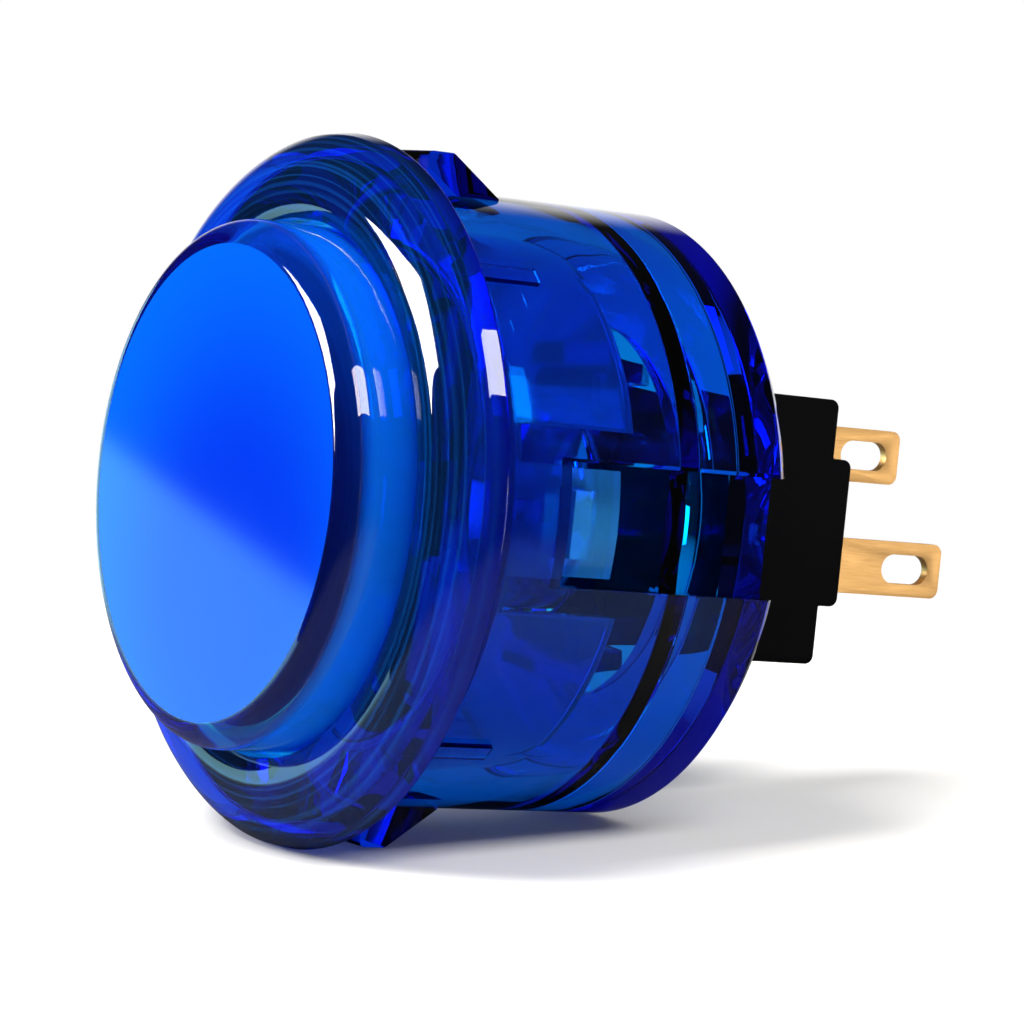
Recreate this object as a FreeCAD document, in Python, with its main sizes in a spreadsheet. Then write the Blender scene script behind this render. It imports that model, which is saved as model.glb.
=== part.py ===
# Snap-in arcade push button for a 30 mm panel hole, in millimetres.
# The button's axis is Y. Its face looks along -Y, its terminals along +Y, and Z is up.
# The origin is the centre of the flange's seat, the plane y = 0 that rests on the panel.

import FreeCAD, Part
import Sketcher
import math
import os

os.makedirs("parts", exist_ok=True)
doc = FreeCAD.newDocument("push_button")
sheet = doc.addObject("Spreadsheet::Sheet", "Sizes")

# Driving sizes, each with what it measures. A distance along Y is counted from the seat plane.
SIZES = [
    ("barrel_radius", 14.85, "outside of the barrel"),
    ("barrel_wall", 1.5, "wall of the barrel"),
    ("flange_reach", 2.15, "flange beyond the barrel"),
    ("land_height", 0.8, "thickness of the flange at its rim"),
    ("bead_height", 2.5, "height of the bead's crest in front of the seat"),
    ("bezel_step", 0.6, "how far the plunger's guide stands inside the barrel's bore"),
    ("bezel_depth", 1.6, "how far that guide runs behind the seat"),
    ("lip_width", 1.25, "from the guide out to the bead's crest"),
    ("barrel_length", 17.1, "barrel behind the seat"),
    ("rear_lead", 0.7, "chamfer that leads the barrel's rear edge into the panel"),
    ("slot_width", 5.7, "width of the two side slots"),
    ("slot_front", 4.7, "where the side slots begin"),
    ("wedge_width", 6.4, "width of a snap wedge"),
    ("wedge_start", 2.5, "front of a snap wedge, behind the panel"),
    ("wedge_crest", 1.4, "length of a wedge's flat top"),
    ("wedge_ramp", 2.7, "length of a wedge's ramp"),
    ("wedge_rise", 1.65, "height of a wedge above the barrel"),
    ("rib_angle", 47.0, "angle from the slots to the four crush ribs"),
    ("rib_width", 0.9, "width of a crush rib"),
    ("rib_length", 4.6, "length of a crush rib"),
    ("rib_rise", 0.25, "height of a crush rib above the barrel"),
    ("floor_front", 11.3, "front of the barrel's inner floor"),
    ("floor_thickness", 1.0, "thickness of the floor"),
    ("floor_cut", 0.45, "how deep the side slots cut into the floor's edge"),
    ("arm_thickness", 1.0, "thickness of the two arms that hold the switch"),
    ("arm_width", 8.0, "width of an arm"),
    ("arm_length", 4.7, "length of an arm behind the floor"),
    ("barb_rise", 0.4, "height of an arm's barb"),
    ("barb_length", 1.5, "length of an arm's barb"),
    ("barb_place", 2.2, "from the floor to the barb"),
    ("ring_length", 2.4, "length of the thick ring at the barrel's rear"),
    ("ring_room", 0.8, "room between that ring and the arms, which spring outwards"),
    ("plunger_gap", 0.3, "clearance round the plunger in the flange"),
    ("plunger_rise", 5.65, "height of the plunger's face in front of the seat"),
    ("face_round", 1.25, "round on the edge of the face"),
    ("cap_face", 1.5, "thickness of the cap's face"),
    ("cap_side", 1.1, "thickness of the cap's side"),
    ("cap_end", 1.5, "rear edge of the cap"),
    ("skirt_wall", 1.1, "wall of the plunger's skirt"),
    ("travel", 1.8, "how far the plunger can be pressed"),
    ("stop_gap", 0.1, "room left behind the skirt and the post at full travel"),
    ("disc_thickness", 1.0, "disc of the core, under the cap"),
    ("notch_width", 8.2, "width of the notches round the retaining legs"),
    ("notch_gap", 0.35, "from the skirt's front to the notches"),
    ("leg_width", 5.0, "width of a retaining leg"),
    ("leg_short", 0.4, "how much a leg is shorter than the skirt"),
    ("hook_gap", 0.5, "from the slot's front to the hook"),
    ("hook_length", 1.9, "length of a hook"),
    ("hook_width", 3.1, "width of a hook"),
    ("hook_inset", 0.45, "how far the hook stays inside the barrel's outside"),
    ("stem_radius", 4.8, "outside of the hollow stem"),
    ("stem_wall", 0.9, "wall of the stem"),
    ("stem_gap", 0.4, "clearance round the stem in the floor and the switch"),
    ("stem_end", 13.6, "rear end of the stem"),
    ("post_radius", 1.6, "post inside the stem that presses the switch"),
    ("post_end", 12.4, "rear end of the post"),
    ("web_thickness", 0.9, "webs between post and stem"),
    ("web_end", 9.6, "rear end of those webs"),
    ("case_width", 6.6, "switch across X, with its cover"),
    ("case_height", 13.4, "switch across Z"),
    ("case_rear", 28.0, "rear face of the switch"),
    ("case_wall", 1.0, "walls of the switch case"),
    ("case_side", 0.7, "side wall of the switch case"),
    ("cover_thickness", 1.0, "cover of the switch"),
    ("corner_round", 0.45, "rounds on the switch's corners"),
    ("recess_gap", 0.4, "room left behind the stem at full travel"),
    ("boss_height", 7.45, "raised block at the rear of the switch, across Z"),
    ("boss_rise", 1.15, "how far that block stands out"),
    ("neck_wall", 0.95, "wall of the neck that guides the actuator"),
    ("shelf_thickness", 0.8, "thickness of the shelf under the spring"),
    ("fit_gap", 0.05, "small clearance where pieces slide or are pushed together"),
    ("arm_gap", 0.1, "clearance between the arms and the switch"),
    ("actuator_radius", 1.2, "actuator in the neck"),
    ("collar_gap", 0.2, "from the actuator's collar to the cover"),
    ("collar_thickness", 0.8, "thickness of the collar"),
    ("rod_radius", 1.0, "rod of the actuator"),
    ("rod_press", 0.3, "how far the rod pushes the contact blade at full travel"),
    ("wire_radius", 0.2, "wire of the return spring"),
    ("coil_gap", 0.35, "between the rod and the spring"),
    ("coil_turns", 4.5, "turns of the return spring"),
    ("tab_width", 2.8, "width of a terminal"),
    ("tab_thickness", 0.5, "thickness of a terminal"),
    ("tab_length", 8.3, "terminal behind the switch's rear face"),
    ("tab_round", 0.5, "rounds on a terminal's corners"),
    ("eye_length", 3.0, "length of the wire hole"),
    ("eye_width", 1.5, "width of the wire hole"),
    ("eye_margin", 0.8, "metal between the wire hole and the tip"),
    ("shoulder_rise", 0.3, "shoulders that keep a terminal in its slit"),
    ("shoulder_length", 0.8, "length of the shoulders"),
    ("shoulder_gap", 0.1, "from the shoulders to the case's wall"),
    ("output_drop", 1.65, "middle of the output terminal below the axis"),
    ("tongue_reach", 1.4, "how far the bent ends cross the axis"),
    ("tongue_height", 1.4, "height of the tongue under the contact blade"),
    ("blade_thickness", 0.25, "contact blade"),
    ("blade_width", 2.4, "root of the contact blade"),
    ("blade_waist", 1.6, "narrow part of the contact blade"),
    ("contact_drop", 3.0, "contacts below the axis"),
    ("contact_radius", 0.9, "radius of a contact"),
    ("contact_height", 0.45, "height of the fixed contact"),
    ("moving_height", 0.5, "height of the moving contact"),
    ("contact_gap", 0.95, "open gap between the contacts"),
    ("rivet_radius", 0.45, "shank of the moving contact"),
    ("rivet_head", 0.2, "height of its head on the blade's front"),
]

for row, (alias, value, meaning) in enumerate(SIZES, start=1):
    sheet.set("A%d" % row, str(value))
    sheet.set("B%d" % row, meaning)
    sheet.setAlias("A%d" % row, alias)
doc.recompute()


class Size:
    """A length that knows its value now and the expression that keeps it up to date."""

    def __init__(self, value, text):
        self.value = value
        self.text = text

    def join(self, other, sign, value):
        text = other.text if isinstance(other, Size) else repr(float(other))
        return Size(value, "(%s %s %s)" % (self.text, sign, text))

    def __add__(self, other):
        return self.join(other, "+", self.value + number(other))

    def __sub__(self, other):
        return self.join(other, "-", self.value - number(other))

    def __mul__(self, other):
        return self.join(other, "*", self.value * number(other))

    def __truediv__(self, other):
        return self.join(other, "/", self.value / number(other))

    def __neg__(self):
        return Size(-self.value, "(-1 * %s)" % self.text)


def number(size):
    return size.value if isinstance(size, Size) else float(size)


def root(size):
    return Size(math.sqrt(size.value), "sqrt(%s)" % size.text)


def bind(thing, name, size):
    """Ties a property to the sheet, or sets it where the size is a plain number."""
    if isinstance(size, Size):
        thing.setExpression(name, size.text)
    else:
        setattr(thing, name, size)


cell = {alias: Size(value, "Sizes." + alias) for alias, value, meaning in SIZES}

# Sizes that follow from the driving ones and are used by more than one piece.
flange_radius = cell["barrel_radius"] + cell["flange_reach"]
bore_radius = cell["barrel_radius"] - cell["barrel_wall"]
bezel_radius = bore_radius - cell["bezel_step"]
crest_radius = bezel_radius + cell["lip_width"]
floor_rear = cell["floor_front"] + cell["floor_thickness"]
floor_hole = cell["stem_radius"] + cell["stem_gap"]
plunger_radius = bezel_radius - cell["plunger_gap"]
face_front = -cell["plunger_rise"]
core_front = face_front + cell["cap_face"]
core_radius = plunger_radius - cell["cap_side"] - cell["fit_gap"]
skirt_inner = plunger_radius - cell["skirt_wall"]
skirt_front = cell["cap_end"] + cell["fit_gap"]
skirt_end = cell["floor_front"] - cell["travel"] - cell["stop_gap"]
stem_inner = cell["stem_radius"] - cell["stem_wall"]
hook_front = cell["slot_front"] + cell["hook_gap"]
case_half = cell["case_width"] / 2
cover_inner = case_half - cell["cover_thickness"]
case_inner = -case_half + cell["case_side"]
case_top = cell["case_height"] / 2
cavity_top = case_top - cell["case_wall"]
recess_front = cell["stem_end"] + cell["travel"] + cell["recess_gap"]
neck_front = cell["post_end"] + cell["travel"] + cell["stop_gap"]
cavity_front = recess_front + cell["case_wall"]
cavity_rear = cell["case_rear"] - cell["case_wall"]
boss_rear = cell["case_rear"] + cell["boss_rise"]
recess_top = cell["stem_radius"] + cell["stem_gap"]
barb_front = floor_rear + cell["barb_place"]
tab_tip = cell["case_rear"] + cell["tab_length"]
shelf_contact = cavity_rear - cell["tab_thickness"] - cell["contact_height"]
blade_rear = shelf_contact - cell["contact_gap"] - cell["moving_height"]
blade_front = blade_rear - cell["blade_thickness"]
rod_end = blade_front - cell["travel"] + cell["rod_press"]
shelf_front = rod_end - cell["fit_gap"] - cell["shelf_thickness"]
common_high = cavity_top - cell["shoulder_gap"] - cell["shoulder_rise"]
common_low = common_high - cell["tab_width"]
output_low = -cell["output_drop"] - cell["tab_width"] / 2
output_high = -cell["output_drop"] + cell["tab_width"] / 2
tongue_low = common_high - cell["tongue_height"]


def new_body(label):
    body = doc.addObject("PartDesign::Body", label)
    body.Label = label
    return body


def new_sketch(body, plane, name, lift=None, turn=None):
    """A sketch on one of the body's own planes, moved along that plane's normal by lift."""
    sketch = body.newObject("Sketcher::SketchObject", name)
    for feature in body.Origin.OriginFeatures:
        if feature.Role == plane:
            sketch.AttachmentSupport = [(feature, "")]
    sketch.MapMode = "FlatFace"
    if lift is not None:
        sketch.setExpression(".AttachmentOffset.Base.z", lift.text)
        sketch.AttachmentOffset.Base.z = lift.value
    if turn is not None:
        sketch.setExpression(".AttachmentOffset.Rotation.Angle", turn.text)
    doc.recompute()
    return sketch


def place_point(sketch, piece, end, x, y):
    """Holds one point of the sketch at x, y."""
    for size, kind, axis in ((x, "DistanceX", -2), (y, "DistanceY", -1)):
        if isinstance(size, Size):
            index = sketch.addConstraint(Sketcher.Constraint(kind, -1, 1, piece, end, size.value))
            sketch.setExpression("Constraints[%d]" % index, size.text)
        else:
            sketch.addConstraint(Sketcher.Constraint("PointOnObject", piece, end, axis))


def draw_outline(sketch, corners, arcs=None):
    """A closed outline through the corners. arcs gives, for the side after a corner, the arc's middle."""
    arcs = arcs or {}
    first = sketch.GeometryCount
    count = len(corners)
    for index, (x, y) in enumerate(corners):
        next_x, next_y = corners[(index + 1) % count]
        start = FreeCAD.Vector(number(x), number(y), 0)
        end = FreeCAD.Vector(number(next_x), number(next_y), 0)
        if index in arcs:
            middle_x, middle_y = arcs[index]
            middle = FreeCAD.Vector(number(middle_x), number(middle_y), 0)
            radius = (start - middle).Length
            chord = (start + end) / 2 - middle
            top = middle + chord * (radius / chord.Length)
            sketch.addGeometry(Part.Arc(start, top, end), False)
        else:
            sketch.addGeometry(Part.LineSegment(start, end), False)
    ends = []
    for index in range(count):
        piece = first + index
        begins = sketch.getPoint(piece, 1)
        x, y = corners[index]
        ahead = (begins - FreeCAD.Vector(number(x), number(y), 0)).Length < 1e-6
        ends.append((1, 2) if ahead else (2, 1))
    for index in range(count):
        following = (index + 1) % count
        joint = Sketcher.Constraint(
            "Coincident", first + index, ends[index][1], first + following, ends[following][0]
        )
        sketch.addConstraint(joint)
    for index, (x, y) in enumerate(corners):
        place_point(sketch, first + index, ends[index][0], x, y)
    for index, (middle_x, middle_y) in arcs.items():
        place = Sketcher.Constraint("DistanceX", -1, 1, first + index, 3, number(middle_x))
        held = sketch.addConstraint(place)
        sketch.setExpression("Constraints[%d]" % held, middle_x.text)


def draw_box(sketch, low_x, high_x, low_y, high_y):
    draw_outline(sketch, [(low_x, low_y), (high_x, low_y), (high_x, high_y), (low_x, high_y)])


def draw_circle(sketch, x, y, radius):
    index = sketch.addGeometry(
        Part.Circle(FreeCAD.Vector(number(x), number(y), 0), FreeCAD.Vector(0, 0, 1), number(radius)), False
    )
    place_point(sketch, index, 3, x, y)
    held = sketch.addConstraint(Sketcher.Constraint("Radius", index, number(radius)))
    sketch.setExpression("Constraints[%d]" % held, radius.text)


def draw_eye(sketch, low_x, high_x, middle_y, width):
    """A slot with round ends, along the sketch's X."""
    radius = width / 2
    low = low_x + radius
    high = high_x - radius
    corners = [(low, middle_y - radius), (high, middle_y - radius), (high, middle_y + radius),
               (low, middle_y + radius)]
    first = sketch.GeometryCount
    flat = [FreeCAD.Vector(number(x), number(y), 0) for x, y in corners]
    right = FreeCAD.Vector(number(high_x), number(middle_y), 0)
    left = FreeCAD.Vector(number(low_x), number(middle_y), 0)
    sketch.addGeometry(Part.LineSegment(flat[0], flat[1]), False)
    sketch.addGeometry(Part.Arc(flat[1], right, flat[2]), False)
    sketch.addGeometry(Part.LineSegment(flat[2], flat[3]), False)
    sketch.addGeometry(Part.Arc(flat[3], left, flat[0]), False)
    for here, there in ((0, 1), (1, 2), (2, 3), (3, 0)):
        sketch.addConstraint(Sketcher.Constraint("Coincident", first + here, 2, first + there, 1))
    for index, (x, y) in enumerate(corners):
        place_point(sketch, first + index, 1, x, y)
    for index, x in ((1, high), (3, low)):
        held = sketch.addConstraint(Sketcher.Constraint("DistanceX", -1, 1, first + index, 3, number(x)))
        sketch.setExpression("Constraints[%d]" % held, x.text)


def sweep(body, kind, sketch, length=None, back=False, both=False, whole=False):
    """A pad or pocket of a sketch, or its turn about the sketch's upright axis."""
    feature = body.newObject("PartDesign::" + kind, kind)
    feature.Profile = sketch
    if kind in ("Revolution", "Groove"):
        feature.ReferenceAxis = (sketch, ["V_Axis"])
        feature.Angle = 360.0
    else:
        if whole:
            feature.Type = "ThroughAll"
        else:
            bind(feature, "Length", length)
        feature.Reversed = back
        feature.Midplane = both
    body.Tip = feature
    doc.recompute()
    return feature


def mirror(body, feature, plane):
    """The same feature again, on the other side of one of the body's planes."""
    copy = body.newObject("PartDesign::Mirrored", "Mirrored")
    copy.Originals = [feature]
    for side in body.Origin.OriginFeatures:
        if side.Role == plane:
            copy.MirrorPlane = (side, [""])
    body.Tip = copy
    doc.recompute()
    return copy


def edges_where(shape, test):
    """Names of the edges whose middle point passes the test."""
    names = []
    for index, edge in enumerate(shape.Edges, start=1):
        middle = edge.valueAt((edge.FirstParameter + edge.LastParameter) / 2)
        if test(edge, middle):
            names.append("Edge%d" % index)
    return names


def round_edges(body, names, radius):
    sharp = body.Tip
    fillet = body.newObject("PartDesign::Fillet", "Fillet")
    fillet.Base = (sharp, names)
    bind(fillet, "Radius", radius)
    body.Tip = fillet
    doc.recompute()
    return fillet


def near(a, b):
    return abs(a - number(b)) < 1e-4


def circle_at(radius, y):
    """A test for the whole circle of that radius about the axis, at that place along Y."""
    def test(edge, middle):
        return near(math.hypot(middle.x, middle.z), radius) and near(middle.y, y)
    return test


def rib_along_x(points):
    """A test for edges along X that pass through one of the points of a Y, Z list."""
    def test(edge, middle):
        along = abs(edge.tangentAt(edge.FirstParameter).x) > 0.999
        return along and any(near(middle.y, y) and near(middle.z, z) for y, z in points)
    return test


def build_housing():
    """Flange, barrel with a thick rear ring, snap wedges, crush ribs, slots and the switch's floor."""
    body = new_body("housing")
    # The bead is one arc: level at its crest, and ending on the rim and on the bore.
    span = flange_radius - crest_radius
    drop = cell["bead_height"] - cell["land_height"]
    arc_radius = (span * span + drop * drop) / (drop * 2)
    middle_y = arc_radius - cell["bead_height"]
    inward = crest_radius - bezel_radius
    lip_y = middle_y - root(arc_radius * arc_radius - inward * inward)
    taper_end = cell["bezel_depth"] + (bore_radius - bezel_radius)
    arm_low = case_top + cell["arm_gap"]
    arm_high = arm_low + cell["arm_thickness"]
    arm_half = cell["arm_width"] / 2
    ring_front = cell["barrel_length"] - cell["ring_length"]
    ring_inner = root(arm_high * arm_high + arm_half * arm_half) + cell["ring_room"]
    sketch = new_sketch(body, "XY_Plane", "housing_section")
    draw_outline(sketch, [
        (flange_radius, 0),
        (flange_radius, -cell["land_height"]),
        (bezel_radius, lip_y),
        (bezel_radius, cell["bezel_depth"]),
        (bore_radius, taper_end),
        (bore_radius, ring_front),
        (ring_inner, ring_front),
        (ring_inner, cell["barrel_length"]),
        (cell["barrel_radius"] - cell["rear_lead"], cell["barrel_length"]),
        (cell["barrel_radius"], cell["barrel_length"] - cell["rear_lead"]),
        (cell["barrel_radius"], 0),
    ], arcs={1: (crest_radius, middle_y)})
    sweep(body, "Revolution", sketch)

    sketch = new_sketch(body, "XZ_Plane", "floor_ring", lift=-cell["floor_front"])
    draw_circle(sketch, 0, 0, bore_radius + cell["barrel_wall"] / 2)
    draw_circle(sketch, 0, 0, floor_hole)
    sweep(body, "Pad", sketch, cell["floor_thickness"], back=True)

    # The slots cut the wall and leave the floor and the ring a flat edge, so they start at that edge.
    past_end = cell["barrel_length"] + cell["barrel_wall"]
    floor_flat = bore_radius - cell["floor_cut"]
    for side, plane_lift in ((1, floor_flat), (-1, -floor_flat)):
        sketch = new_sketch(body, "YZ_Plane", "side_slot", lift=plane_lift)
        draw_box(sketch, cell["slot_front"], past_end, -cell["slot_width"] / 2, cell["slot_width"] / 2)
        sweep(body, "Pocket", sketch, cell["barrel_radius"], back=side > 0)

    base = bore_radius + cell["barrel_wall"] / 2
    reach = cell["barrel_radius"] + cell["wedge_rise"]
    crest_end = cell["wedge_start"] + cell["wedge_crest"]
    sketch = new_sketch(body, "YZ_Plane", "snap_wedge")
    draw_outline(sketch, [
        (cell["wedge_start"], base),
        (cell["wedge_start"], reach),
        (crest_end, reach),
        (crest_end + cell["wedge_ramp"], cell["barrel_radius"] - cell["barrel_wall"] / 6),
        (crest_end + cell["wedge_ramp"], base),
    ])
    wedge = sweep(body, "Pad", sketch, cell["wedge_width"], both=True)
    mirror(body, wedge, "XY_Plane")

    for turn in (cell["rib_angle"], -cell["rib_angle"], cell["rib_angle"] + 180, -cell["rib_angle"] + 180):
        sketch = new_sketch(body, "XZ_Plane", "crush_rib", turn=turn)
        inside = cell["barrel_radius"] - cell["barrel_wall"] / 4
        draw_box(sketch, inside, cell["barrel_radius"] + cell["rib_rise"],
                 -cell["rib_width"] / 2, cell["rib_width"] / 2)
        sweep(body, "Pad", sketch, cell["rib_length"], back=True)

    arm_root = cell["floor_front"] + cell["floor_thickness"] / 2
    sketch = new_sketch(body, "YZ_Plane", "switch_arm")
    draw_box(sketch, arm_root, floor_rear + cell["arm_length"], arm_low, arm_high)
    arm = sweep(body, "Pad", sketch, cell["arm_width"], both=True)
    mirror(body, arm, "XY_Plane")
    sketch = new_sketch(body, "YZ_Plane", "arm_barb")
    draw_outline(sketch, [
        (barb_front, arm_low + cell["arm_thickness"] / 2),
        (barb_front, arm_low - cell["barb_rise"]),
        (barb_front + cell["barb_length"], arm_low),
        (barb_front + cell["barb_length"], arm_low + cell["arm_thickness"] / 2),
    ])
    barb = sweep(body, "Pad", sketch, cell["case_width"], both=True)
    mirror(body, barb, "XY_Plane")
    return body


def build_plunger_cap():
    """Clear outer cap of the plunger: a flat face with a rounded edge and a short side wall."""
    body = new_body("plunger_cap")
    inner = plunger_radius - cell["cap_side"]
    sketch = new_sketch(body, "XY_Plane", "cap_section")
    draw_outline(sketch, [
        (0, face_front),
        (plunger_radius, face_front),
        (plunger_radius, cell["cap_end"]),
        (inner, cell["cap_end"]),
        (inner, core_front),
        (0, core_front),
    ])
    turned = sweep(body, "Revolution", sketch)
    round_edges(body, edges_where(turned.Shape, circle_at(plunger_radius, face_front)), cell["face_round"])
    return body


def build_plunger_core():
    """Inner piece of the plunger: disc, skirt with two hooked legs, hollow stem and pressing post."""
    body = new_body("plunger_core")
    disc_rear = core_front + cell["disc_thickness"]
    sketch = new_sketch(body, "XY_Plane", "core_section")
    draw_outline(sketch, [
        (0, core_front),
        (core_radius, core_front),
        (core_radius, skirt_front),
        (plunger_radius, skirt_front),
        (plunger_radius, skirt_end),
        (skirt_inner, skirt_end),
        (skirt_inner, skirt_front + cell["skirt_wall"]),
        (core_radius - cell["skirt_wall"], skirt_front),
        (core_radius - cell["skirt_wall"], disc_rear),
        (cell["stem_radius"], disc_rear),
        (cell["stem_radius"], cell["stem_end"]),
        (stem_inner, cell["stem_end"]),
        (stem_inner, disc_rear),
        (cell["post_radius"], disc_rear),
        (cell["post_radius"], cell["post_end"]),
        (0, cell["post_end"]),
    ])
    sweep(body, "Revolution", sketch)

    middle = stem_inner + cell["stem_wall"] / 2
    half = cell["web_thickness"] / 2
    web_length = cell["web_end"] - (core_front + cell["disc_thickness"] / 2)
    for name, wide, tall in (("level_web", middle, half), ("upright_web", half, middle)):
        sketch = new_sketch(body, "XZ_Plane", name, lift=-(core_front + cell["disc_thickness"] / 2))
        draw_box(sketch, -wide, wide, -tall, tall)
        sweep(body, "Pad", sketch, web_length, back=True)

    # One cut on each side frees a leg from the skirt and shortens it a little.
    half_notch = cell["notch_width"] / 2
    half_leg = cell["leg_width"] / 2
    leg_end = skirt_end - cell["leg_short"]
    notch_front = skirt_front + cell["skirt_wall"] + cell["notch_gap"]
    past_end = skirt_end + cell["skirt_wall"]
    start = skirt_inner - cell["skirt_wall"]
    for side, plane_lift in ((1, start), (-1, -start)):
        sketch = new_sketch(body, "YZ_Plane", "leg_notch", lift=plane_lift)
        draw_outline(sketch, [
            (notch_front, half_notch),
            (past_end, half_notch),
            (past_end, -half_notch),
            (notch_front, -half_notch),
            (notch_front, -half_leg),
            (leg_end, -half_leg),
            (leg_end, half_leg),
            (notch_front, half_leg),
        ])
        sweep(body, "Pocket", sketch, plunger_radius, back=side > 0)

    hook_reach = cell["barrel_radius"] - cell["hook_inset"]
    hook_base = plunger_radius - cell["skirt_wall"] / 2
    sketch = new_sketch(body, "XY_Plane", "hook")
    draw_outline(sketch, [
        (hook_base, hook_front),
        (hook_reach, hook_front),
        (hook_reach, hook_front + cell["hook_length"] / 2),
        (plunger_radius, hook_front + cell["hook_length"]),
        (hook_base, hook_front + cell["hook_length"]),
    ])
    hook = sweep(body, "Pad", sketch, cell["hook_width"], both=True)
    mirror(body, hook, "YZ_Plane")
    return body


def switch_outline():
    """Side view of the switch, shared by its case and its cover, as Y, Z corners."""
    groove_front = barb_front - cell["arm_gap"]
    groove_rear = barb_front + cell["barb_length"] + cell["arm_gap"]
    groove_top = case_top - cell["barb_rise"]
    half_boss = cell["boss_height"] / 2
    upper = [
        (recess_front, recess_top),
        (floor_rear, recess_top),
        (floor_rear, case_top),
        (groove_front, case_top),
        (groove_front, groove_top),
        (groove_rear, groove_top),
        (groove_rear, case_top),
        (cell["case_rear"], case_top),
        (cell["case_rear"], half_boss),
        (boss_rear, half_boss),
    ]
    lower = [(y, -z) for y, z in reversed(upper)]
    return upper + lower


def round_switch_corners(body):
    corners = [
        (cell["case_rear"], case_top), (cell["case_rear"], -case_top),
        (boss_rear, cell["boss_height"] / 2), (boss_rear, -cell["boss_height"] / 2),
        (floor_rear, case_top), (floor_rear, -case_top),
    ]
    round_edges(body, edges_where(body.Tip.Shape, rib_along_x(corners)), cell["corner_round"])


def build_switch_case():
    """Black case of the microswitch, open on the side that the cover closes."""
    body = new_body("switch_case")
    sketch = new_sketch(body, "YZ_Plane", "case_outline", lift=-case_half)
    draw_outline(sketch, switch_outline())
    sweep(body, "Pad", sketch, cell["case_width"] - cell["cover_thickness"])
    round_switch_corners(body)

    sketch = new_sketch(body, "YZ_Plane", "cavity", lift=cover_inner)
    draw_box(sketch, cavity_front, cavity_rear, -cavity_top, cavity_top)
    sweep(body, "Pocket", sketch, cover_inner - case_inner)

    sketch = new_sketch(body, "YZ_Plane", "spring_shelf", lift=case_inner - cell["case_side"] / 2)
    shelf_rear = shelf_front + cell["shelf_thickness"]
    overlap = cell["case_wall"] / 2
    draw_box(sketch, shelf_front, shelf_rear, -(cavity_top + overlap), cavity_top + overlap)
    sweep(body, "Pad", sketch, cover_inner - case_inner + cell["case_side"] / 2)

    neck_bore = cell["actuator_radius"] + cell["fit_gap"]
    sketch = new_sketch(body, "XZ_Plane", "neck", lift=-neck_front)
    draw_circle(sketch, 0, 0, neck_bore + cell["neck_wall"])
    sweep(body, "Pad", sketch, recess_front - neck_front + cell["case_wall"] / 2, back=True)

    sketch = new_sketch(body, "XZ_Plane", "neck_bore", lift=-(neck_front - cell["case_wall"]))
    draw_circle(sketch, 0, 0, neck_bore)
    sweep(body, "Pocket", sketch, cavity_front - neck_front + cell["case_wall"] * 1.5)

    sketch = new_sketch(body, "XZ_Plane", "rod_hole", lift=-(shelf_front - cell["case_wall"]))
    draw_circle(sketch, 0, 0, cell["rod_radius"] + cell["fit_gap"])
    sweep(body, "Pocket", sketch, cell["shelf_thickness"] + cell["case_wall"] * 2)

    gap = cell["fit_gap"]
    thick = cell["tab_thickness"]
    slits = (
        ("common_slit", case_inner - gap, case_inner + thick + gap, common_low - gap, common_high + gap),
        ("output_slit", cover_inner - thick - gap, cover_inner + gap, output_low - gap, output_high + gap),
    )
    for name, low_x, high_x, low_z, high_z in slits:
        sketch = new_sketch(body, "XZ_Plane", name, lift=-(cavity_rear - cell["case_wall"] / 2))
        draw_box(sketch, low_x, high_x, low_z, high_z)
        sweep(body, "Pocket", sketch, cell["case_wall"] * 2 + cell["boss_rise"])
    return body


def build_switch_cover():
    """Flat cover of the microswitch, with the same side view as the case."""
    body = new_body("switch_cover")
    sketch = new_sketch(body, "YZ_Plane", "cover_outline", lift=cover_inner)
    draw_outline(sketch, switch_outline())
    sweep(body, "Pad", sketch, cell["cover_thickness"])
    round_switch_corners(body)
    return body


def build_switch_actuator():
    """Actuator of the microswitch: a pin in the neck, a collar that stops it, and a rod."""
    body = new_body("switch_actuator")
    collar_radius = cover_inner - cell["collar_gap"]
    collar_rear = cavity_front + cell["collar_thickness"]
    sketch = new_sketch(body, "XY_Plane", "actuator_section")
    draw_outline(sketch, [
        (0, cell["post_end"]),
        (cell["actuator_radius"], cell["post_end"]),
        (cell["actuator_radius"], cavity_front),
        (collar_radius, cavity_front),
        (collar_radius, collar_rear),
        (cell["rod_radius"], collar_rear),
        (cell["rod_radius"], rod_end),
        (0, rod_end),
    ])
    sweep(body, "Revolution", sketch)
    return body


def build_return_spring():
    """Coil spring round the actuator's rod, from its collar to the shelf of the case.

    Its wire is drawn with six sides, which keeps the faces few.
    """
    body = new_body("return_spring")
    spring_front = cavity_front + cell["collar_thickness"] + cell["fit_gap"] + cell["wire_radius"]
    spring_rear = shelf_front - cell["fit_gap"] - cell["wire_radius"]
    coil_radius = cell["rod_radius"] + cell["coil_gap"] + cell["wire_radius"]
    sketch = new_sketch(body, "XY_Plane", "wire_section")
    half_side = cell["wire_radius"] / 2
    flat = cell["wire_radius"] * math.sin(math.radians(60))
    draw_outline(sketch, [
        (coil_radius + cell["wire_radius"], spring_front),
        (coil_radius + half_side, spring_front + flat),
        (coil_radius - half_side, spring_front + flat),
        (coil_radius - cell["wire_radius"], spring_front),
        (coil_radius - half_side, spring_front - flat),
        (coil_radius + half_side, spring_front - flat),
    ])
    coil = body.newObject("PartDesign::AdditiveHelix", "Coil")
    coil.Profile = sketch
    coil.ReferenceAxis = (sketch, ["V_Axis"])
    coil.Mode = "height-turns-angle"
    bind(coil, "Height", spring_rear - spring_front)
    bind(coil, "Turns", cell["coil_turns"])
    body.Tip = coil
    doc.recompute()
    return body


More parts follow.
